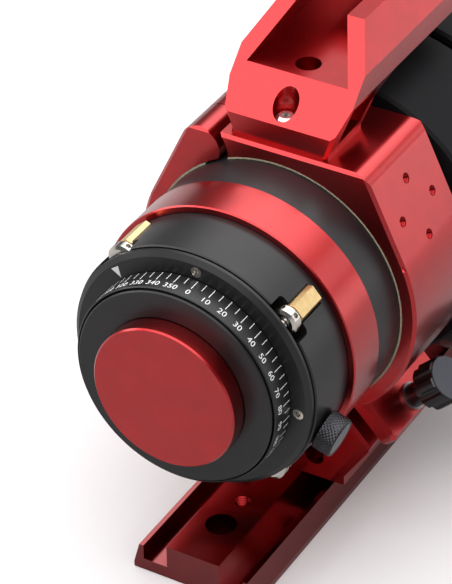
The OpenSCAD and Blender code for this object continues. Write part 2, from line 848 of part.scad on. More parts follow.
module focus_body() {
  bevel = 1;
  block_half = 20;
  color("black") difference() {
    union() {
      turned([
        [tube_r, body_start], [shield_r - bevel, body_start],
        [shield_r, body_start + bevel], [shield_r, body_end - bevel],
        [shield_r - bevel, body_end], [tube_r, body_end]
      ]);
      translate([-block_half, shaft_y - 11, shaft_z - 8])
        cube([2 * block_half, 22, 18]);
    }
    ring_y(tube_r, 0, body_start - 1, body_end + 1);
    for (a = body_screw_turns) at_turn(a)
      translate([0, body_end - 8, shield_r - body_screw_len]) cylinder(h = 6, r = 2.05);
    // room for the drive rail
    translate([-6, body_start + 2, shaft_z - 0.5])
      cube([12, body_end - body_start - 4, 12]);
    translate([-8, shaft_y - 6, shaft_z - 4.5]) cube([16, 12, 12]);
    // shaft bearings
    translate([-block_half - 20, shaft_y, shaft_z]) rotate([0, 90, 0])
      cylinder(h = 2 * block_half + 40, r = shaft_r + run_fit);
  }
}

module focus_body_screws() {
  color("silver") for (a = body_screw_turns) at_turn(a)
    translate([0, body_end - 8, shield_r - body_screw_len]) difference() {
      cylinder(h = body_screw_len - 0.5, r = 2);
      translate([0, 0, 0.9]) cylinder(h = 3, r = 1.1, $fn = 6);
    }
}

module focus_shaft() {
  color("silver") translate([-shaft_half, shaft_y, shaft_z]) rotate([0, 90, 0])
    cylinder(h = 2 * shaft_half + 14, r = shaft_r);
}

// Ribbed hand knob with its bore along X.
module hand_knob(x0, len, r) {
  ribs = 12;
  color("black") translate([x0, shaft_y, shaft_z]) rotate([0, 90, 0]) difference() {
    rotate_extrude() polygon([
      [shaft_r, 0], [r - 0.8, 0], [r, 0.8], [r, len - 0.8], [r - 0.8, len], [shaft_r, len]
    ]);
    for (i = [0:ribs - 1]) rotate([0, 0, i * 360 / ribs])
      translate([r + 0.7, 0, -1]) cylinder(h = len + 2, r = 1.3);
  }
}

module focus_knob_left() { hand_knob(-shaft_half, 14, hand_r); }
module focus_knob_right() { hand_knob(shaft_half - 14, 14, hand_r); }

module fine_knob() {
  r = hand_r * 0.62;
  color("black") translate([shaft_half + 0.4, shaft_y, shaft_z]) rotate([0, 90, 0])
    difference() {
      rotate_extrude() polygon([
        [shaft_r + run_fit, 0], [r - 0.5, 0], [r, 0.5], [r, 15], [r - 0.6, 15.6],
        [0, 15.6], [0, 14], [shaft_r + run_fit, 14]
      ]);
      for (i = [0:9]) rotate([0, 0, i * 36]) translate([r + 0.5, 0, -1])
        cylinder(h = 20, r = 0.9);
    }
}

module focus_cell() {
  y0 = body_start + 6;
  color("black") turned([
    [31, y0], [tube_bore - run_fit, y0], [tube_bore - run_fit, y0 + 26],
    [34.5, y0 + 26], [34.5, y0 + 4], [31, y0 + 4]
  ]);
}

module focus_rail() {
  y0 = body_start + 11;
  color("silver") difference() {
    translate([-4, y0, rail_bottom]) cube([8, 18, tube_bore - run_fit - 1 + abs(rail_bottom)
      - 2 * (tube_bore - run_fit - 1) + 2]);
    ring_y(tube_bore - run_fit, 0, y0 - 1, y0 + 20);
  }
}

module focus_lens() {
  y0 = body_start + 10;
  color("lightblue") turned([
    [0, y0], [20, y0 + 0.3], [34.5, y0 + 1], [34.5, y0 + 12], [32.3, y0 + 12],
    [20, y0 + 13.4], [0, y0 + 14]
  ]);
}

module focus_lens_ring() {
  y0 = body_start + 22;
  color("black") ring_y(34.5, 32.5, y0, y0 + 3);
}

// ---------- objective ----------

module lens_cell() {
  lip = 1.5;
  color("black") turned([
    [glass_r - 2, cell_start - 6], [tube_bore, cell_start - 6], [tube_bore, cell_start],
    [cell_r, cell_start], [cell_r, cell_end], [glass_r + 4, cell_end],
    [glass_r, cell_end - 4], [glass_r, cell_start + 4], [glass_r - 2, cell_start + 4]
  ]);
}

module objective_rear() {
  y0 = cell_start + 4;
  color("lightblue") turned([
    [0, y0 + 0.2], [20, y0 + 0.1], [glass_r, y0], [glass_r, y0 + 8],
    [20, y0 + 6.6], [0, y0 + 6]
  ]);
}

module lens_spacer() {
  color("black") ring_y(glass_r, glass_r - 1.6, cell_start + 12, cell_start + 13.4);
}

module objective_front() {
  y0 = cell_start + 13.4;
  color("lightblue") turned([
    [0, y0 - 3], [20, y0 - 2.1], [glass_r - 1.8, y0], [glass_r, y0], [glass_r, y0 + 5],
    [glass_r - 2.4, y0 + 5], [20, y0 + 7.6], [0, y0 + 8.4]
  ]);
}

module lens_retainer() {
  color("black") ring_y(glass_r, glass_r - 2.2, cell_start + 18.4, cell_start + 22);
}

module shield_felt() {
  color("tan") ring_y(cell_r + 0.9, cell_r, cell_start + 4, cell_end - 6);
}

// ---------- dew shield ----------

module dew_shield() {
  inner = cell_r + 0.98;
  bevel = 1;
  color("black") turned([
    [inner, shield_start], [shield_r - bevel, shield_start],
    [shield_r, shield_start + bevel], [shield_r, shield_end - front_seat],
    [shield_r - 1, shield_end - front_seat], [shield_r - 1, shield_end],
    [inner, shield_end]
  ]);
}

module shield_trim() {
  color("red") ring_y(shield_r, shield_r - 1, shield_end - front_seat, shield_end);
}

module front_cap() {
  plug = cell_r + 0.98 - run_fit;
  color("crimson") turned([
    [0, shield_end + 0.05], [shield_r - 0.8, shield_end + 0.05],
    [shield_r, shield_end + 0.8], [shield_r, shield_end + 4], [shield_r - 1, shield_end + 5],
    [0, shield_end + 5]
  ]);
  color("crimson") turned([
    [plug - 2.5, shield_end - 8], [plug, shield_end - 8], [plug, shield_end + 1],
    [plug - 2.5, shield_end + 1]
  ]);
}

// ---------- show ----------

rear_cap();
adapter_disc();
dial_ring();
rotator_sleeve();
sleeve_keeper();
rotator_flange();
flange_screws();
tilt_bearing();
tilt_studs();
tilt_drum();
tilt_standoffs();
tilt_nut_a();
tilt_nut_b();
tilt_nut_c();
tilt_nut_d();
lock_knob();
lock_knob_face();
rear_band();
main_tube();
tube_baffle();
cradle_lower();
felt_lower();
cradle_upper();
felt_upper();
hinge_pin();
clamp_screw();
clamp_washer();
clamp_knob();
clamp_knob_face();
handle_bar();
handle_screws();
dovetail_bar();
dovetail_screws();
focus_body();
focus_body_screws();
focus_shaft();
focus_knob_left();
focus_knob_right();
fine_knob();
focus_cell();
focus_rail();
focus_lens();
focus_lens_ring();
lens_cell();
objective_front();
objective_rear();
lens_spacer();
lens_retainer();
shield_felt();
dew_shield();
shield_trim();
front_cap();
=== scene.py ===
"""Dresses the small red and black refractor: finishes, dial figures, knurls and felt."""
import logging
import math
import random
from dataclasses import dataclass, field
from enum import Enum
from typing import ClassVar, Sequence

import bmesh
import bpy
from mathutils import Matrix, Vector


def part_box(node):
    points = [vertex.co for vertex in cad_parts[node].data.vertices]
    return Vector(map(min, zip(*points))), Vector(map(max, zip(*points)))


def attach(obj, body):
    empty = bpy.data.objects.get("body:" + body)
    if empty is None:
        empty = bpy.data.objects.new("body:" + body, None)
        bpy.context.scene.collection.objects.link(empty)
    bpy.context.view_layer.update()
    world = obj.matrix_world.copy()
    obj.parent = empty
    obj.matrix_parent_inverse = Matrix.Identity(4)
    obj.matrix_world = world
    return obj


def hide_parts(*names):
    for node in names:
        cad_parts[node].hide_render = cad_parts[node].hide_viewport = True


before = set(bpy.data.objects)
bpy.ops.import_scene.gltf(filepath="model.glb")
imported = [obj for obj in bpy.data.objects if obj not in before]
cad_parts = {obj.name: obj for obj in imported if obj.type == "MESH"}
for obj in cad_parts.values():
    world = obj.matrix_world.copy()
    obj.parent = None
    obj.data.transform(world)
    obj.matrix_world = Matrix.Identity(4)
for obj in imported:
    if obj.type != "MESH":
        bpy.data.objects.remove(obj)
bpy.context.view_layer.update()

MM = 0.001
LOG = logging.getLogger("refractor")

Colour = tuple[float, float, float]
Place = tuple[float, float, float]
Span = tuple[float, float]
Socket = bpy.types.NodeSocket

FULL_TURN = 360
SOFT_CORNER = 32.0  # degrees; edges sharper than this are softened
SOFT_SEGMENTS = 2


class Metal(Enum):
    """The bare metals on the telescope."""

    STEEL = "steel"
    NICKEL = "nickel"
    BRASS = "brass"
    GREY = "grey"


class Detail(Enum):
    """How many octaves a noise has."""

    SMOOTH = 1.0
    PLAIN = 2.0
    CLOUDY = 3.0
    MATTED = 6.0


def wheel_point(radius: float, turn: float, y: float) -> Vector:
    """Finds a point on a cylinder round the optical axis.

    Args:
        radius: distance from the optical axis, in metres.
        turn: turn from the top towards the clamp side, in radians.
        y: place along the light path, in metres.

    Returns:
        The point in the part's frame.
    """
    return Vector((radius * math.sin(turn), y, radius * math.cos(turn)))


def scaled(shade: Colour, share: float) -> Colour:
    """Makes a colour lighter or darker.

    Args:
        shade: the colour.
        share: what each part of it is multiplied by.

    Returns:
        The new colour.
    """
    red, green, blue = shade
    return red * share, green * share, blue * share


def bridge(bm: bmesh.types.BMesh, low: Sequence[bmesh.types.BMVert],
           high: Sequence[bmesh.types.BMVert]) -> None:
    """Closes the strip between two rings of points.

    Args:
        bm: the mesh under work.
        low: one ring; a ring of one point is a tip.
        high: the other ring.
    """
    steps = max(len(low), len(high))
    for i in range(steps):
        j = (i + 1) % steps
        corners = (low[i % len(low)], low[j % len(low)],
                   high[j % len(high)], high[i % len(high)])
        unique = list(dict.fromkeys(corners))
        if len(unique) > 2:
            bm.faces.new(unique)


def closed_mesh(name: str, bm: bmesh.types.BMesh) -> bpy.types.Mesh:
    """Turns a working mesh into a lasting one whose faces look outwards.

    Args:
        name: the new mesh's name.
        bm: the working mesh, which is freed.

    Returns:
        The lasting mesh.
    """
    bmesh.ops.recalc_face_normals(bm, faces=bm.faces)
    mesh = bpy.data.meshes.new(name)
    bm.to_mesh(mesh)
    bm.free()
    return mesh


# ---------------------------------------------------------------- finishes


@dataclass
class NodeBench:
    """Lays out the shader nodes of one material."""

    BLEND_ENDS: ClassVar[Span] = (0.3, 0.7)

    name: str
    material: bpy.types.Material = field(init=False)
    shader: bpy.types.ShaderNode = field(init=False)

    def __post_init__(self) -> None:
        """Starts a new material with one shader on it."""
        self.material = bpy.data.materials.new(self.name)
        self.material.use_nodes = True
        self.tree.nodes.clear()
        self.shader = self.tree.nodes.new("ShaderNodeBsdfPrincipled")
        out = self.tree.nodes.new("ShaderNodeOutputMaterial")
        self.tree.links.new(self.shader.outputs[0], out.inputs["Surface"])

    @property
    def tree(self) -> bpy.types.NodeTree:
        """Gives the material's node tree."""
        return self.material.node_tree

    def set(self, **values: float | Sequence[float]) -> None:
        """Sets the shader's own sockets.

        Args:
            values: socket values by name; underscores stand for spaces.
        """
        for key, value in values.items():
            self.shader.inputs[key.replace("_", " ")].default_value = value

    def node(self, kind: str, **settings: object) -> bpy.types.Node:
        """Adds a node.

        Args:
            kind: the node's type name.
            settings: attributes of the node, or socket values by name.

        Returns:
            The new node.
        """
        made = self.tree.nodes.new(kind)
        for key, value in settings.items():
            if hasattr(made, key):
                setattr(made, key, value)
            else:
                made.inputs[key.replace("_", " ")].default_value = value
        return made

    def link(self, source: Socket, target: Socket) -> None:
        """Joins two sockets.

        Args:
            source: the output socket.
            target: the input socket.
        """
        self.tree.links.new(source, target)

    def place(self) -> Socket:
        """Finds where on the surface the shader is.

        Returns:
            The socket of the surface's own coordinates, in metres.
        """
        return self.node("ShaderNodeTexCoord").outputs["Object"]

    def noise(self, pitch: float, detail: Detail = Detail.PLAIN,
              place: Socket | None = None) -> Socket:
        """Adds noise with grains of about one pitch.

        Args:
            pitch: grain size in metres.
            detail: octaves of noise.
            place: coordinates to use in place of the surface's own.

        Returns:
            The noise value's socket.
        """
        made = self.node("ShaderNodeTexNoise", Scale=1.0 / pitch, Detail=detail.value)
        self.link(self.place() if place is None else place, made.inputs["Vector"])
        return made.outputs[0]

    def spread(self, source: Socket, low: float, high: float) -> Socket:
        """Stretches a 0 to 1 value to another range.

        Args:
            source: the value.
            low: result at 0.
            high: result at 1.

        Returns:
            The stretched value's socket.
        """
        made = self.node("ShaderNodeMapRange")
        self.link(source, made.inputs["Value"])
        made.inputs["To Min"].default_value = low
        made.inputs["To Max"].default_value = high
        return made.outputs[0]

    def blend(self, source: Socket, first: Colour, second: Colour) -> Socket:
        """Mixes two colours by a value.

        Args:
            source: mix value, 0 to 1.
            first: colour at 0.
            second: colour at 1.

        Returns:
            The mixed colour's socket.
        """
        ramp = self.node("ShaderNodeValToRGB")
        stops = zip(ramp.color_ramp.elements, self.BLEND_ENDS, (first, second))
        for stop, position, shade in stops:
            stop.position = position
            stop.color = (*shade, 1.0)
        self.link(source, ramp.inputs[0])
        return ramp.outputs[0]

    def tint(self, source: Socket, first: Colour, second: Colour) -> None:
        """Sets the base colour to a mix of two colours.

        Args:
            source: mix value, 0 to 1.
            first: colour at 0.
            second: colour at 1.
        """
        self.link(self.blend(source, first, second), self.shader.inputs["Base Color"])

    def roughen(self, source: Socket, middle: float, wander: Span) -> None:
        """Lets the roughness wander round its middle.

        Args:
            source: the value that it follows, 0 to 1.
            middle: the roughness it wanders round.
            wander: how far it goes at 0 and at 1.
        """
        low, high = wander
        self.link(self.spread(source, middle + low, middle + high),
                  self.shader.inputs["Roughness"])

    def bump(self, source: Socket, depth: float, strength: float = 0.5,
             under: Socket | None = None) -> Socket:
        """Adds a bump and sets it on the shader.

        Args:
            source: the height value, 0 to 1.
            depth: height of the relief in metres.
            strength: how much of it shows.
            under: an earlier bump to build on.

        Returns:
            The bumped normal's socket.
        """
        made = self.node("ShaderNodeBump", Strength=strength, Distance=depth)
        self.link(source, made.inputs["Height"])
        if under is not None:
            self.link(under, made.inputs["Normal"])
        self.link(made.outputs[0], self.shader.inputs["Normal"])
        return made.outputs[0]


@dataclass(frozen=True)
class Finish:
    """A surface finish that makes its material once."""

    name: str

    def material(self) -> bpy.types.Material:
        """Finds the finish's material, made on first use.

        Returns:
            The material.
        """
        found = bpy.data.materials.get(self.name)
        return found if found is not None else self.make()

    def make(self) -> bpy.types.Material:
        """Makes the material; each finish has its own way."""
        raise NotImplementedError


@dataclass(frozen=True)
class Anodised(Finish):
    """Bead-blasted and anodised aluminium."""

    shade: Colour = (0.56, 0.003, 0.006)
    deeper: Colour = (0.48, 0.002, 0.005)
    metallic: float = 1.0
    roughness: float = 0.29
    wander: Span = (-0.05, 0.06)
    cloud: float = 9 * MM
    grain: float = 0.22 * MM
    depth: float = 0.012 * MM
    coat: float = 1.0
    coat_roughness: float = 0.2
    coat_ior: float = 1.55
    shine: float = 0.5

    def make(self) -> bpy.types.Material:
        """Makes the blasted grain, cloudy dye and clear oxide layer."""
        bench = NodeBench(self.name)
        bench.set(Metallic=self.metallic, Coat_Weight=self.coat,
                  Coat_Roughness=self.coat_roughness, Coat_IOR=self.coat_ior,
                  Specular_IOR_Level=self.shine)
        bench.tint(bench.noise(self.cloud, Detail.CLOUDY), self.shade, self.deeper)
        blast = bench.noise(self.grain)
        bench.roughen(blast, self.roughness, self.wander)
        bench.bump(blast, self.depth)
        return bench.material


@dataclass(frozen=True)
class Painted(Finish):
    """Powdery satin paint with a faint orange peel."""

    shade: Colour = (0.007, 0.007, 0.008)
    lift: float = 1.7
    roughness: float = 0.4
    wander: Span = (-0.05, 0.07)
    dust: float = 0.3 * MM
    peel: float = 0.7 * MM
    peel_strength: float = 0.6
    depth: float = 0.01 * MM
    shine: float = 0.25

    def make(self) -> bpy.types.Material:
        """Makes the paint's peel and its fine dust of grain."""
        bench = NodeBench(self.name)
        bench.set(Metallic=0.0, Specular_IOR_Level=self.shine)
        speck = bench.noise(self.dust, Detail.SMOOTH)
        bench.tint(speck, self.shade, scaled(self.shade, self.lift))
        bench.roughen(speck, self.roughness, self.wander)
        peel = bench.bump(bench.noise(self.peel), self.depth, self.peel_strength)
        bench.bump(speck, self.depth, under=peel)
        return bench.material


@dataclass(frozen=True)
class Turned(Finish):
    """Bright metal with fine lathe lines."""

    metal: Metal = Metal.STEEL
    wander: Span = (-0.04, 0.1)
    worn: float = 0.82
    smear: float = 2.2 * MM
    # reach of the painted shade that darkens hollows, sockets and holes
    hollow_shade: float = 0.9 * MM
    pitch: float = 0.12 * MM
    stretch: Place = (0.03, 1.0, 0.03)
    depth: float = 0.006 * MM

    COLOURS: ClassVar[dict[Metal, tuple[Colour, float]]] = {
        Metal.STEEL: ((0.78, 0.76, 0.73), 0.26),
        Metal.NICKEL: ((0.78, 0.74, 0.68), 0.16),
        Metal.BRASS: ((0.88, 0.64, 0.31), 0.34),
        Metal.GREY: ((0.34, 0.34, 0.35), 0.36),
    }

    def make(self) -> bpy.types.Material:
        """Makes the metal, its lathe lines, its handling marks and painted shade in its
        hollows.
        """
        bench = NodeBench(self.name)
        shade, roughness = self.COLOURS[self.metal]
        bench.set(Metallic=1.0)
        smear = bench.noise(self.smear, Detail.CLOUDY)
        # ambient occlusion darkens the base colour in sockets and hollows: painted shade
        hollow_shade = bench.node("ShaderNodeAmbientOcclusion", only_local=True, Distance=self.hollow_shade)
        bench.link(bench.blend(smear, shade, scaled(shade, self.worn)), hollow_shade.inputs["Color"])
        bench.link(hollow_shade.outputs["Color"], bench.shader.inputs["Base Color"])
        bench.roughen(smear, roughness, self.wander)
        stretched = bench.node("ShaderNodeMapping", Scale=self.stretch)
        bench.link(bench.place(), stretched.inputs["Vector"])
        lines = bench.noise(self.pitch, Detail.SMOOTH, stretched.outputs[0])
        bench.bump(lines, self.depth)
        return bench.material


@dataclass(frozen=True)
class Moulded(Finish):
    """Moulded black plastic or rubbery nylon."""

    shade: Colour = (0.014, 0.014, 0.015)
    lift: float = 1.5
    roughness: float = 0.4
    wander: Span = (-0.06, 0.08)
    grain: float = 0.35 * MM
    depth: float = 0.02 * MM

    def make(self) -> bpy.types.Material:
        """Makes the fine mould texture."""
        bench = NodeBench(self.name)
        bench.set(Metallic=0.0, Specular_IOR_Level=0.5)
        spark = bench.noise(self.grain)
        bench.tint(spark, self.shade, scaled(self.shade, self.lift))
        bench.roughen(spark, self.roughness, self.wander)
        bench.bump(spark, self.depth)
        return bench.material


@dataclass(frozen=True)
class Felted(Finish):
    """Pale wool felt."""

    shade: Colour = (0.66, 0.58, 0.42)
    darker: Colour = (0.34, 0.29, 0.20)
    grain: float = 0.5 * MM
    nap: float = 0.15 * MM
    nap_strength: float = 0.9

    def make(self) -> bpy.types.Material:
        """Makes matted wool with a soft sheen."""
        bench = NodeBench(self.name)
        bench.set(Metallic=0.0, Roughness=0.95, Sheen_Weight=0.5, Sheen_Roughness=0.5,
                  Specular_IOR_Level=0.2)
        matted = bench.noise(self.grain, Detail.MATTED)
        bench.tint(matted, self.darker, self.shade)
        bench.bump(matted, self.nap, self.nap_strength)
        return bench.material


@dataclass(frozen=True)
class Ink(Finish):
    """Printed white marks."""

    shade: Colour = (0.80, 0.80, 0.79)
    thin: float = 0.85
    grain: float = 0.25 * MM

    def make(self) -> bpy.types.Material:
        """Makes ink of slightly uneven cover."""
        bench = NodeBench(self.name)
        bench.set(Metallic=0.0, Roughness=0.55)
        bench.tint(bench.noise(self.grain), self.shade, scaled(self.shade, self.thin))
        return bench.material


@dataclass(frozen=True)
class CoatedGlass(Finish):
    """Lens glass with a faint green coating."""

    shade: Colour = (0.86, 0.96, 0.9)
    bluer: Colour = (0.8, 0.92, 0.98)
    wander: Span = (0.0, 0.03)
    patch: float = 20 * MM

    def make(self) -> bpy.types.Material:
        """Makes clear glass with a thin uneven coating."""
        bench = NodeBench(self.name)
        bench.set(Metallic=0.0, IOR=1.5, Transmission_Weight=1.0, Coat_Weight=0.3,
                  Coat_Roughness=0.02)
        haze = bench.noise(self.patch)
        bench.tint(haze, self.shade, self.bluer)
        bench.roughen(haze, 0.0, self.wander)
        return bench.material


RED = Anodised("red_satin")
# a darker copy of the red anodising: painted shade for the bar under the tube
RED_BAR_SHADED = Anodised("red_bar_shaded", shade=(0.27, 0.001, 0.003), deeper=(0.22, 0.001, 0.003),
                   roughness=0.2, coat_roughness=0.12)
# a darker copy of the red anodising: painted shade inside the tapped holes
RED_HOLE_SHADED = Anodised("red_hole_shaded", shade=(0.30, 0.001, 0.003), deeper=(0.24, 0.001, 0.002),
                   roughness=0.16, coat=0.3, coat_roughness=0.1)
BLACK = Anodised("black_satin", shade=(0.012, 0.012, 0.013), deeper=(0.009, 0.009, 0.010),
                 metallic=0.0, roughness=0.34, coat=0.0, shine=0.48)
KNURLED = Anodised("knurled_black", shade=(0.06, 0.06, 0.065), deeper=(0.045, 0.045, 0.05),
                   roughness=0.26, coat=0.0)
TUBE_PAINT = Painted("tube_paint", roughness=0.36, shine=0.5)
SHIELD_PAINT = Painted("shield_paint", roughness=0.5, shine=0.1)
SLATE = Painted("slate_cap", shade=(0.036, 0.039, 0.047), roughness=0.4, shine=0.3)
STEEL = Turned("turned_steel", metal=Metal.STEEL)
NICKEL = Turned("turned_nickel", metal=Metal.NICKEL)
BRASS = Turned("turned_brass", metal=Metal.BRASS)
GREY = Turned("turned_grey", metal=Metal.GREY)
KNOB = Moulded("knob_plastic", shade=(0.006, 0.006, 0.0065), roughness=0.24)
FELT = Felted("ring_felt")
WHITE = Ink("dial_ink")
GLASS = CoatedGlass("lens_glass")


# ---------------------------------------------------------------- benches


def dress(node: str, finish: Finish, edge: float = 0.0) -> None:
    """Gives a CAD node its finish and, where wanted, softened edges.

    Args:
        node: the CAD node's name.
        finish: the finish to put on it.
        edge: width of the softened edges, in millimetres.
    """
    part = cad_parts[node]
    part.data.materials.clear()
    part.data.materials.append(finish.material())
    if edge > 0:
        soft = part.modifiers.new("softened", "BEVEL")
        soft.width = edge * MM
        soft.segments = SOFT_SEGMENTS
        soft.limit_method = "ANGLE"
        soft.angle_limit = math.radians(SOFT_CORNER)
        soft.harden_normals = True
    LOG.info("dressed %s with %s", node, finish.name)


def add_piece(name: str, mesh: bpy.types.Mesh, finish: Finish, body: str) -> bpy.types.Object:
    """Puts a new mesh on a body.

    Args:
        name: the piece's name.
        mesh: its mesh, in the part's frame.
        finish: the finish to put on it.
        body: the body it rides on.

    Returns:
        The new object.
    """
    mesh.materials.clear()
    mesh.materials.append(finish.material())
    piece = bpy.data.objects.new(name, mesh)
    bpy.context.scene.collection.objects.link(piece)
    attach(piece, body)
    LOG.info("added %s: %d faces", name, len(mesh.polygons))
    return piece


@dataclass
class TappedHole:
    """Thread ridges inside one tapped hole."""

    name: str
    body: str
    mouth: Vector
    out: Vector
    radius: float
    depth: float
    pitch: float
    start: float = 0.35 * MM
    wall: float = 0.06 * MM
    ridge_share: float = 0.4
    steps: int = 32

    def build(self) -> None:
        """Turns a closed sleeve whose inside is a row of sharp ridges."""
        ridge = self.pitch * self.ridge_share
        outer = self.radius + self.wall
        profile = [(outer, self.start)]
        count = int((self.depth - self.start) / self.pitch)
        for i in range(count):
            top = self.start + i * self.pitch
            profile += [(self.radius, top), (self.radius - ridge, top + self.pitch / 2)]
        profile += [(self.radius, self.start + count * self.pitch),
                    (outer, self.start + count * self.pitch)]
        side = self.out.orthogonal().normalized()
        other = self.out.cross(side)
        turns = [2 * math.pi * i / self.steps for i in range(self.steps)]
        spokes = [side * math.cos(turn) + other * math.sin(turn) for turn in turns]
        bm = bmesh.new()
        rings = []
        for radius, down in profile:
            middle = self.mouth - self.out * down
            rings.append([bm.verts.new(middle + radius * spoke) for spoke in spokes])
        for low, high in zip(rings, rings[1:] + rings[:1]):
            bridge(bm, low, high)
        # the ridges get the darker red: painted shade inside the hole
        add_piece(self.name, closed_mesh(self.name, bm), RED_HOLE_SHADED, self.body)


# ---------------------------------------------------------------- camera side


@dataclass
class DialScale:
    """The white angle scale printed round the dial ring."""

    radius: float = 35.5 * MM
    zero_turn: float = 6.4
    tick_end: float = 9.45 * MM
    short_start: float = 6.4 * MM
    long_start: float = 5.4 * MM
    figure_middle: float = 3.4 * MM
    figure_height: float = 2.2 * MM
    figure_share: float = 0.72
    figure_spacing: float = 1.06
    line: float = 0.24 * MM
    relief: float = 0.03 * MM
    step: int = 5
    label_step: int = 10

    def _tick(self, bm: bmesh.types.BMesh, turn: float, start: float) -> None:
        """Adds one raised line.

        Args:
            bm: the mesh under work.
            turn: its turn, in radians.
            start: its rear end along the light path, in metres.
        """
        half = self.line / 2 / self.radius
        rings = []
        for y in (start, self.tick_end):
            for radius in (self.radius - self.relief, self.radius + self.relief):
                rings.append([bm.verts.new(wheel_point(radius, turn + s * half, y))
                              for s in (-1, 1)])
        low_in, low_out, high_in, high_out = rings
        faces = [(low_out[0], low_out[1], high_out[1], high_out[0]),
                 (low_in[0], high_in[0], high_in[1], low_in[1]),
                 (low_in[0], low_in[1], low_out[1], low_out[0]),
                 (high_in[0], high_out[0], high_out[1], high_in[1]),
                 (low_in[0], low_out[0], high_out[0], high_in[0]),
                 (low_in[1], high_in[1], high_out[1], low_out[1])]
        for corners in faces:
            bm.faces.new(corners)

    def _figure(self, text: str) -> bpy.types.Mesh:
        """Makes a flat number, centred on the origin.

        Args:
            text: the number's figures.

        Returns:
            The flat mesh.
        """
        curve = bpy.data.curves.new("figure_" + text, "FONT")
        curve.body = text
        curve.align_x = "CENTER"
        curve.align_y = "CENTER"
        curve.size = self.figure_height / self.figure_share
        curve.space_character = self.figure_spacing
        curve.extrude = self.relief
        holder = bpy.data.objects.new("figure_" + text, curve)
        bpy.context.scene.collection.objects.link(holder)
        bpy.context.view_layer.update()
        mesh = bpy.data.meshes.new_from_object(
            holder.evaluated_get(bpy.context.evaluated_depsgraph_get()))
        bpy.data.objects.remove(holder)
        bpy.data.curves.remove(curve)
        return mesh

    def build(self) -> None:
        """Makes the lines and figures and wraps them round the dial."""
        lines = bmesh.new()
        for degree in range(0, FULL_TURN, self.step):
            long = degree % self.label_step == 0
            self._tick(lines, math.radians(degree + self.zero_turn),
                       self.long_start if long else self.short_start)
        add_piece("dial_lines", closed_mesh("dial_lines", lines), WHITE, "rotator")

        figures = bmesh.new()
        for degree in range(0, FULL_TURN, self.label_step):
            flat = self._figure(str(degree))
            middle = math.radians(degree + self.zero_turn)
            for vertex in flat.vertices:
                x, y, z = vertex.co
                vertex.co = wheel_point(self.radius + z, middle + x / self.radius,
                                        self.figure_middle + y)
            figures.from_mesh(flat)
            bpy.data.meshes.remove(flat)
        add_piece("dial_figures", closed_mesh("dial_figures", figures), WHITE, "rotator")


@dataclass
class CameraSide:
    """Dust cap, adapter disc, dial and rotator sleeve."""

    scale: DialScale = field(default_factory=DialScale)
    cap_edge: float = 0.25
    edge: float = 0.18

    def build(self) -> None:
        """Dresses the camera end and adds its scale."""
        dress("rear_cap", RED, self.cap_edge)
        dress("adapter_disc", BLACK, self.edge)
        dress("dial_ring", BLACK, self.edge)
        dress("rotator_sleeve", BLACK)
        dress("sleeve_keeper", BLACK)
        self.scale.build()


@dataclass
class TiltUnit:
    """Flange, drum and the four tilt adjusters."""

    marker: tuple[Span, ...] = ((-27.4, 29.2), (-24.9, 31.0), (-23.9, 27.1))
    marker_y: float = 9.95 * MM
    marker_relief: float = 0.03 * MM
    edge: float = 0.2
    screw_edge: float = 0.1
    standoff_edge: float = 0.12
    nut_edge: float = 0.15

    def _marker(self) -> None:
        """Makes the white pointer on the flange's rear face."""
        bm = bmesh.new()
        layers = [[bm.verts.new((x * MM, y, z * MM)) for x, z in self.marker]
                  for y in (self.marker_y - self.marker_relief,
                            self.marker_y + self.marker_relief)]
        bm.faces.new(layers[0])
        bm.faces.new(layers[1][::-1])
        bridge(bm, *layers)
        add_piece("dial_pointer", closed_mesh("dial_pointer", bm), WHITE, "tilt_plate")

    def build(self) -> None:
        """Dresses the tilt unit and adds the pointer."""
        dress("rotator_flange", BLACK, self.edge)
        dress("flange_screws", NICKEL, self.screw_edge)
        dress("tilt_bearing", BLACK)
        dress("tilt_studs", STEEL)
        dress("tilt_drum", BLACK, self.edge)
        dress("tilt_standoffs", BRASS, self.standoff_edge)
        for letter in "abcd":
            dress("tilt_nut_" + letter, NICKEL, self.nut_edge)
        self._marker()


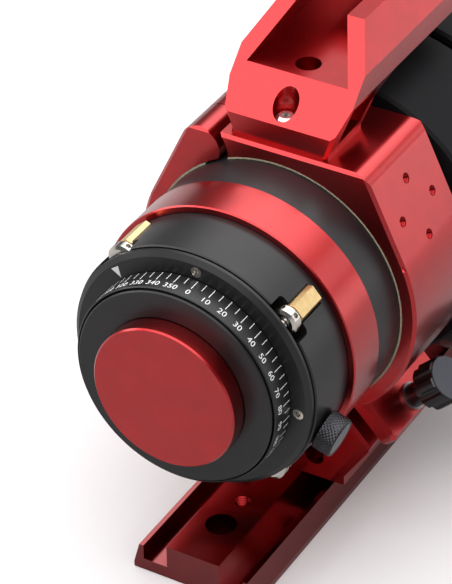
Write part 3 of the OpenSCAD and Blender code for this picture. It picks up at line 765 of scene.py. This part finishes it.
@dataclass
class LockKnob:
    """The knurled knob that locks the rotator."""

    turn: float = 108.6
    y: float = 20.2 * MM
    radius: float = 6.7 * MM
    base: float = 43.4 * MM
    height: float = 6.5 * MM
    bevel: float = 0.5 * MM
    knurl: float = 0.3 * MM
    knurl_swell: float = 0.7
    pitches: int = 32
    steps_in_pitch: int = 6
    rows: int = 26
    crease: float = 28.0
    shank: float = 2.5 * MM
    tip: float = 30.3 * MM
    tip_in: float = 1.0 * MM
    tip_long: float = 1.2 * MM
    face: float = 5.65 * MM
    face_gap: float = 0.05 * MM
    face_sink: float = 0.8 * MM
    face_edge: float = 0.1

    def _knurl_depth(self, around: float, up: float) -> float:
        """Gives the depth cut by two crossed sets of grooves.

        Args:
            around: place round the knob, in turns.
            up: place along the knob, in metres.

        Returns:
            The depth in metres.
        """
        rise = up / (2 * math.pi * self.radius) * self.pitches
        first = abs(math.sin(math.pi * (around * self.pitches + rise)))
        second = abs(math.sin(math.pi * (around * self.pitches - rise)))
        return self.knurl * (1.0 - min(first, second) ** self.knurl_swell)

    def _profile(self) -> list[tuple[float, float, bool]]:
        """Lists the knob's outline from its tip to its face.

        Returns:
            Radius, place along the knob and whether the knurl cuts there.
        """
        top = self.base + self.height
        floor = top - self.face_sink
        points = [
            (0.0, self.tip, False), (self.shank - self.tip_in, self.tip, False),
            (self.shank, self.tip + self.tip_long, False), (self.shank, self.base, False),
            (self.radius - self.bevel, self.base, False)]
        for i in range(self.rows + 1):
            up = self.base + self.bevel + (self.height - 2 * self.bevel) * i / self.rows
            points.append((self.radius, up, True))
        return points + [(self.radius - self.bevel, top, False),
                         (self.face + self.face_gap, top, False),
                         (self.face + self.face_gap, floor, False), (0.0, floor, False)]

    def build(self) -> None:
        """Makes the knob with real diamond knurling."""
        axis = wheel_point(1.0, math.radians(self.turn), 0.0)
        side = Vector((0.0, 1.0, 0.0))
        other = axis.cross(side)
        steps = self.pitches * self.steps_in_pitch
        bm = bmesh.new()
        rings = []
        for radius, up, cut in self._profile():
            if radius == 0.0:
                rings.append([bm.verts.new(axis * up + side * self.y)])
                continue
            ring = []
            for i in range(steps):
                around = i / steps
                r = radius - (self._knurl_depth(around, up) if cut else 0.0)
                a = 2 * math.pi * around
                ring.append(bm.verts.new(axis * up + side * (self.y + r * math.cos(a))
                                         + other * (r * math.sin(a))))
            rings.append(ring)
        for low, high in zip(rings, rings[1:]):
            bridge(bm, low, high)
        mesh = closed_mesh("lock_knob_knurled", bm)
        mesh.shade_smooth()
        mesh.set_sharp_from_angle(angle=math.radians(self.crease))
        knob = add_piece("lock_knob_knurled", mesh, KNURLED, "rotator_lock")
        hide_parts("lock_knob")
        dress("lock_knob_face", GREY, self.face_edge)


# ---------------------------------------------------------------- tube and ring


@dataclass
class TubeUnit:
    """Main tube, its red band and the objective."""

    edge: float = 0.2

    def build(self) -> None:
        """Dresses the tube, band and lens cell."""
        dress("main_tube", TUBE_PAINT)
        dress("rear_band", RED, self.edge)
        for node in ("tube_baffle", "lens_cell", "lens_spacer", "lens_retainer"):
            dress(node, BLACK)
        dress("objective_front", GLASS)
        dress("objective_rear", GLASS)
        dress("shield_felt", FELT)


@dataclass
class FeltEdge:
    """Loose wool strands along the rear edge of one half of the felt."""

    name: str
    body: str
    first: float
    last: float
    seed: int = 7
    per_turn: int = 1500
    radii: Span = (45.12 * MM, 45.6 * MM)
    face: float = 63.85 * MM
    lean: float = 1.2
    lengths: Span = (0.25, 0.75)
    lift: float = 0.25
    thick: float = 0.035 * MM
    taper: float = 0.6
    flatness: float = 0.2
    shares: tuple[float, ...] = (0.0, 0.5, 1.0)
    corners: tuple[float, ...] = (0.0, 2.1, 4.2)

    def build(self) -> None:
        """Scatters thin three-sided strands that lean either way."""
        rng = random.Random(self.seed)
        bm = bmesh.new()
        for _ in range(int(self.per_turn * (self.last - self.first) / FULL_TURN)):
            turn = math.radians(rng.uniform(self.first, self.last))
            radius = rng.uniform(*self.radii)
            lean = rng.uniform(-self.lean, self.lean)
            length = rng.uniform(*self.lengths) * MM
            lift = rng.uniform(0.0, self.lift)
            rows = []
            for share in self.shares:
                reach = length * share
                angle = turn + lean * reach * share / radius
                spot = wheel_point(radius + lift * reach, angle, self.face - reach)
                r = self.thick * (1.0 - self.taper * share)
                rows.append([bm.verts.new(spot + Vector((
                    r * math.cos(a), self.flatness * r * math.sin(a), r * math.sin(a))))
                    for a in self.corners])
            for low, high in zip(rows, rows[1:]):
                bridge(bm, low, high)
            bm.faces.new(rows[0][::-1])
            bm.faces.new(rows[-1])
        add_piece(self.name, closed_mesh(self.name, bm), FELT, self.body)


@dataclass
class Cradle:
    """The hinged ring with its felt lining."""

    edge: float = 0.3
    shoulder: float = math.radians(64.7)
    flat: float = 50.4 * MM
    holes_along: float = -11.1 * MM
    holes_y: float = 82.5 * MM
    hole_reach: float = 10.1 * MM
    hole_radius: float = 1.75 * MM
    hole_depth: float = 3.8 * MM
    hole_pitch: float = 0.7 * MM
    slot: float = 136.6
    slot_gaps: Span = (5.0, 9.0)
    hinge: float = -32.35
    hinge_gap: float = 14.0

    def _threads(self) -> None:
        """Cuts thread ridges into the diamond of holes on the clamp-side shoulder."""
        out = wheel_point(1.0, self.shoulder, 0.0)
        along = Vector((math.cos(self.shoulder), 0.0, -math.sin(self.shoulder)))
        middle = out * self.flat + along * self.holes_along + Vector((0.0, self.holes_y, 0.0))
        reach = self.hole_reach
        places = ((-reach, 0.0), (reach, 0.0), (0.0, -reach), (0.0, reach))
        for i, (u, v) in enumerate(places):
            mouth = middle + along * u + Vector((0.0, v, 0.0))
            TappedHole(f"shoulder_thread_{i + 1}", "ring_top", mouth, out,
                       self.hole_radius, self.hole_depth, self.hole_pitch).build()

    def _felt_edges(self) -> None:
        """Roughens the felt's rear edge, clear of the hinge and the clamp's slot."""
        before, after = self.slot_gaps
        FeltEdge("felt_strands_upper", "ring_top", self.hinge + self.hinge_gap,
                 self.slot - before).build()
        FeltEdge("felt_strands_lower", "base", self.slot + after,
                 self.hinge + (FULL_TURN - self.hinge_gap)).build()

    def build(self) -> None:
        """Dresses the two ring halves, felt and pin."""
        self._threads()
        self._felt_edges()
        dress("cradle_lower", RED, self.edge)
        dress("cradle_upper", RED, self.edge)
        dress("felt_lower", FELT)
        dress("felt_upper", FELT)
        dress("hinge_pin", STEEL)


@dataclass
class Clamp:
    """The lobed clamp knob with its screw and washer."""

    edge: float = 0.25
    washer_edge: float = 0.15
    face_edge: float = 0.12

    def build(self) -> None:
        """Dresses the clamp."""
        dress("clamp_screw", STEEL)
        dress("clamp_washer", GREY, self.washer_edge)
        dress("clamp_knob", KNOB, self.edge)
        dress("clamp_knob_face", SLATE, self.face_edge)


@dataclass
class HandleAndBar:
    """The carrying handle and the dovetail bar."""

    edge: float = 0.3
    screw_edge: float = 0.1
    web_top: float = -74.0 * MM
    threads: tuple[float, ...] = (40.2 * MM, 125.7 * MM, 153.9 * MM)
    thread_radius: float = 2.9 * MM
    thread_depth: float = 12.4 * MM
    thread_pitch: float = 1.0 * MM

    def build(self) -> None:
        """Dresses the handle, bar and their screws."""
        dress("handle_bar", RED, self.edge)
        dress("handle_screws", STEEL, self.screw_edge)
        # the bar's darker red is painted shade from the tube above it
        dress("dovetail_bar", RED_BAR_SHADED, self.edge)
        dress("dovetail_screws", STEEL, self.screw_edge)
        for i, y in enumerate(self.threads):
            TappedHole(f"bar_thread_{i + 1}", "base", Vector((0.0, y, self.web_top)),
                       Vector((0.0, 0.0, 1.0)), self.thread_radius, self.thread_depth,
                       self.thread_pitch).build()


@dataclass
class Focuser:
    """The focuser body, its shaft and knobs."""

    edge: float = 0.25
    screw_edge: float = 0.1
    knob_edge: float = 0.2

    def build(self) -> None:
        """Dresses the focuser."""
        dress("focus_body", SHIELD_PAINT, self.edge)
        dress("focus_body_screws", STEEL, self.screw_edge)
        dress("focus_shaft", STEEL)
        for node in ("focus_knob_left", "focus_knob_right", "fine_knob"):
            dress(node, BLACK, self.knob_edge)
        for node in ("focus_cell", "focus_lens_ring"):
            dress(node, BLACK)
        dress("focus_rail", STEEL)
        dress("focus_lens", GLASS)


@dataclass
class ShieldUnit:
    """The sliding dew shield with its trim and cap."""

    edge: float = 0.25
    trim_edge: float = 0.1

    def build(self) -> None:
        """Dresses the dew shield."""
        dress("dew_shield", SHIELD_PAINT, self.edge)
        dress("shield_trim", RED, self.trim_edge)
        dress("front_cap", RED, self.edge)


# ---------------------------------------------------------------- studio


@dataclass
class Softbox:
    """One large soft light."""

    name: str
    at: Place
    size: Span
    power: float
    aim: Place = (0.0, 0.0, 0.0)

    def build(self) -> None:
        """Hangs the light."""
        lamp = bpy.data.lights.new(self.name, "AREA")
        lamp.shape = "RECTANGLE"
        lamp.size, lamp.size_y = self.size
        lamp.energy = self.power
        holder = bpy.data.objects.new(self.name, lamp)
        bpy.context.scene.collection.objects.link(holder)
        holder.location = self.at
        way = Vector(self.aim) - Vector(self.at)
        holder.rotation_euler = way.to_track_quat("-Z", "Y").to_euler()


@dataclass
class Studio:
    """Pale floor, soft lights and camera."""

    floor_shade: Colour = (0.72, 0.70, 0.705)
    # share of the floor's colour seen in reflections and bounce light: painted shade
    floor_reflection_shade: float = 0.45
    floor_half: float = 6.0
    floor_gap: float = 0.0002
    fibre: float = 1.5 * MM
    fibre_dip: float = 0.99
    glow: float = 2.5
    bands: tuple[Span, ...] = (
        (0.0, 0.24), (0.08, 0.22), (0.17, 0.03), (0.47, 0.03), (0.66, 1.0))
    camera_at: Place = (0.38885, -0.62042, 0.56012)
    camera_right: Place = (0.86485, 0.50179, -0.01593)
    camera_up: Place = (-0.28112, 0.51032, 0.81274)
    lens: float = 185.4
    sensor: float = 36.0
    clip: Span = (0.05, 50.0)
    lights: list[Softbox] = field(default_factory=lambda: [
        Softbox("left_light", at=(-0.9, -0.2, 0.55), size=(0.5, 0.7), power=4.0),
        Softbox("right_card", at=(1.0, 0.95, 0.05), size=(1.3, 0.45), power=1.6),
        Softbox("right_high_card", at=(0.9, 0.95, 0.50), size=(1.2, 0.35), power=1.6),
    ])

    def _floor(self) -> None:
        """Lays the floor under the dovetail bar, darker to all but camera rays as painted
        shade on the telescope.
        """
        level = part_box("dovetail_bar")[0].z
        bm = bmesh.new()
        bmesh.ops.create_grid(bm, x_segments=1, y_segments=1, size=self.floor_half)
        mesh = bpy.data.meshes.new("floor")
        bm.to_mesh(mesh)
        bm.free()
        floor = bpy.data.objects.new("floor", mesh)
        floor.location.z = level - self.floor_gap
        bpy.context.scene.collection.objects.link(floor)
        bench = NodeBench("floor_paper")
        bench.set(Roughness=0.8, Specular_IOR_Level=0.2)
        fibre = bench.noise(self.fibre, Detail.CLOUDY)
        paper = bench.blend(fibre, self.floor_shade, scaled(self.floor_shade, self.fibre_dip))
        # reflection and bounce rays see the floor darker than the camera does: painted shade
        # on the telescope
        seen = bench.node("ShaderNodeLightPath").outputs["Is Camera Ray"]
        share = bench.spread(seen, self.floor_reflection_shade, 1.0)
        dim = bench.node("ShaderNodeVectorMath", operation="SCALE")
        bench.link(paper, dim.inputs[0])
        bench.link(share, dim.inputs["Scale"])
        bench.link(dim.outputs[0], bench.shader.inputs["Base Color"])
        mesh.materials.append(bench.material)

    def _air(self) -> None:
        """Fills the room with a bright ceiling, dim walls and a pale skyline."""
        world = bpy.data.worlds.new("studio_air")
        bpy.context.scene.world = world
        world.use_nodes = True
        tree = world.node_tree
        back = tree.nodes["Background"]
        back.inputs["Strength"].default_value = self.glow
        way = tree.nodes.new("ShaderNodeTexCoord")
        split = tree.nodes.new("ShaderNodeSeparateXYZ")
        ramp = tree.nodes.new("ShaderNodeValToRGB")
        stops = ramp.color_ramp.elements
        for _ in self.bands[2:]:
            stops.new(0.5)
        for stop, (height, light) in zip(stops, self.bands):
            stop.position = height
            stop.color = (light, light, light, 1.0)
        tree.links.new(way.outputs["Generated"], split.inputs[0])
        tree.links.new(split.outputs["Z"], ramp.inputs[0])
        tree.links.new(ramp.outputs[0], back.inputs["Color"])

    def _camera(self) -> None:
        """Sets the camera behind and above the tube."""
        data = bpy.data.cameras.new("camera")
        data.sensor_width = self.sensor
        data.sensor_fit = "AUTO"
        data.lens = self.lens
        data.clip_start, data.clip_end = self.clip
        camera = bpy.data.objects.new("camera", data)
        bpy.context.scene.collection.objects.link(camera)
        right = Vector(self.camera_right).normalized()
        up = Vector(self.camera_up).normalized()
        back = right.cross(up)
        turn = Matrix((right, up, back)).transposed()
        camera.matrix_world = Matrix.Translation(self.camera_at) @ turn.to_4x4()
        bpy.context.scene.camera = camera

    def build(self) -> None:
        """Sets up the studio."""
        bpy.context.scene.view_settings.view_transform = "Standard"
        self._floor()
        self._air()
        for light in self.lights:
            light.build()
        self._camera()


def main() -> None:
    """Builds and dresses each sub-assembly in order."""
    logging.basicConfig(level=logging.INFO, format="%(message)s")
    for unit in (Studio(), CameraSide(), TiltUnit(), LockKnob(), TubeUnit(), Cradle(),
                 Clamp(), HandleAndBar(), Focuser(), ShieldUnit()):
        unit.build()
        LOG.info("finished %s", type(unit).__name__)


if __name__ == "__main__":
    main()
